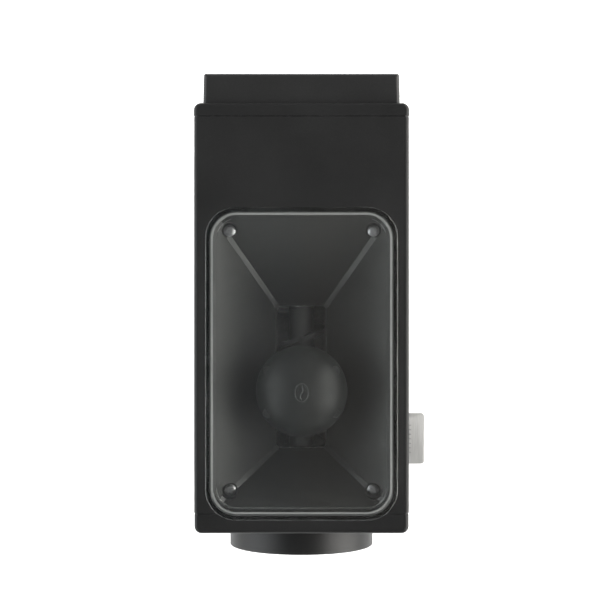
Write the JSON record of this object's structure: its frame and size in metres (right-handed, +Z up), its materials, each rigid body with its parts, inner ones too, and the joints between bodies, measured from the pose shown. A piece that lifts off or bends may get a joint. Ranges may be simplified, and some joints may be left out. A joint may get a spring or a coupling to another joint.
{
  "type": "burr coffee grinder",
  "caption": "Electric flat-burr coffee grinder: slab head with clear bean bin and funnel, front dial, side knocker lever, column, base and grounds cup.",
  "frame": {"origin": "middle of the foot ring's footprint, on the surface that the grinder stands on", "axes": "+Z up, -Y towards the dial, +X towards the knocker lever"},
  "size_m": [0.1214, 0.2409, 0.241],
  "materials": {
    "shell_coat": "fine matt powder coat",
    "cap_coat": "fine matt powder coat",
    "vent_plastic": "moulded, fine spark texture",
    "dial_coat": "turned and satin coated",
    "insert_coat": "satin with fine turning marks",
    "marking_white": "inlaid mark",
    "clear_plastic": "polished clear plastic",
    "seal_rubber": "soft matt",
    "funnel_plastic": "moulded semi-gloss",
    "dome_plastic": "satin",
    "dark_steel": "blackened steel",
    "lever_metal": "fine brushed, clear anodised",
    "black_plastic": "moulded matt",
    "cup_steel": "fine matt coat",
    "cup_lid_plastic": "moulded satin",
    "foot_rubber": "matt rubber",
    "cast_aluminium": "die cast",
    "bright_steel": "ground steel",
    "burr_steel": "hardened steel",
    "hub_brass": "turned brass",
    "zinc_steel": "zinc plated sheet",
    "winding": "lacquered copper winding",
    "board_green": "solder resist",
    "chute_plastic": "moulded satin",
    "button_metal": "satin anodised",
    "bezel_ring": "translucent light ring"
  },
  "bodies": {
    "frame": {"main_shell": "shell_coat", "column": "shell_coat", "base": "shell_coat", "front_cap": "cap_coat", "rear_cap": "cap_coat", "rear_vent_cover": "vent_plastic", "dial_pointer": "marking_white", "load_bin": "clear_plastic", "hopper_funnel": "funnel_plastic", "bean_dome": "dome_plastic", "hopper_screws": "dark_steel", "case_screws": "dark_steel", "chassis_screws": "dark_steel", "knocker_bezel": "black_plastic", "start_switch": "black_plastic", "capacitor": "black_plastic", "foot_ring": "foot_rubber", "cup_pad": "foot_rubber", "motor_mounts": "foot_rubber", "cord_gland": "foot_rubber", "burr_housing": "cast_aluminium", "motor_front_bell": "cast_aluminium", "motor_rear_bell": "cast_aluminium", "bearings": "bright_steel", "knocker_pin": "bright_steel", "knocker_spring": "bright_steel", "button_spring": "bright_steel", "detent_plunger": "bright_steel", "cup_magnet": "bright_steel", "motor_bracket": "zinc_steel", "motor_can": "zinc_steel", "knocker_bracket": "zinc_steel", "base_plate": "zinc_steel", "motor_stator": "winding", "power_board": "board_green", "chute": "chute_plastic", "button_bezel": "bezel_ring"},
    "dial": {"dial": "dial_coat", "dial_insert": "insert_coat", "adjusting_hub": "hub_brass", "hub_screws": "dark_steel", "wave_spring": "bright_steel"},
    "adjuster": {"outer_carrier": "cast_aluminium", "fixed_burr": "burr_steel", "fixed_burr_screws": "bright_steel"},
    "rotor": {"drive_shaft": "bright_steel", "shaft_nut": "bright_steel", "auger": "black_plastic", "burr_carrier": "cast_aluminium", "rotating_burr": "burr_steel", "rotating_burr_screws": "bright_steel", "shaft_coupling": "bright_steel", "motor_rotor": "bright_steel", "cooling_fan": "black_plastic"},
    "knocker": {"knocker_lever": "lever_metal"},
    "button": {"start_button": "button_metal"},
    "lid": {"bin_lid": "clear_plastic", "lid_seal": "seal_rubber"},
    "cup": {"grounds_cup": "cup_steel", "cup_lid": "cup_lid_plastic"}
  },
  "joints": [
    {"name": "dial_turn", "type": "hinge", "parent": "frame", "child": "dial", "pos_m": [0, -0.112, 0.1635], "axis": [0, 1, 0], "range_deg": [-165, 165]},
    {"name": "carrier_slide", "type": "slide", "parent": "frame", "child": "adjuster", "axis": [0, 1, 0], "range_m": [-0.00047, 0.00047]},
    {"name": "rotor_spin", "type": "hinge", "parent": "frame", "child": "rotor", "pos_m": [0, 0, 0.1635], "axis": [0, 1, 0], "continuous": true},
    {"name": "knocker_press", "type": "hinge", "parent": "frame", "child": "knocker", "pos_m": [0.036, -0.0677, 0.1225], "axis": [0, 1, 0], "range_deg": [0, 15], "stiffness_Nm_per_rad": 0.3, "springref_deg": -8.59, "deforming": ["knocker_spring"]},
    {"name": "button_press", "type": "slide", "parent": "frame", "child": "button", "axis": [0, 1, 0], "range_m": [0, 0.0015], "stiffness_N_per_m": 400, "springref_m": -0.001, "deforming": ["button_spring"]},
    {"name": "lid_lift", "type": "slide", "parent": "frame", "child": "lid", "axis": [0, 0, 1], "range_m": [0, 0.06]},
    {"name": "cup_pull", "type": "slide", "parent": "frame", "child": "cup", "axis": [0, -1, 0], "range_m": [0, 0.12]}
  ],
  "couplings": [
    {"joint": "carrier_slide", "follows": "dial_turn", "m_per_rad": 0.00015915}
  ]
}
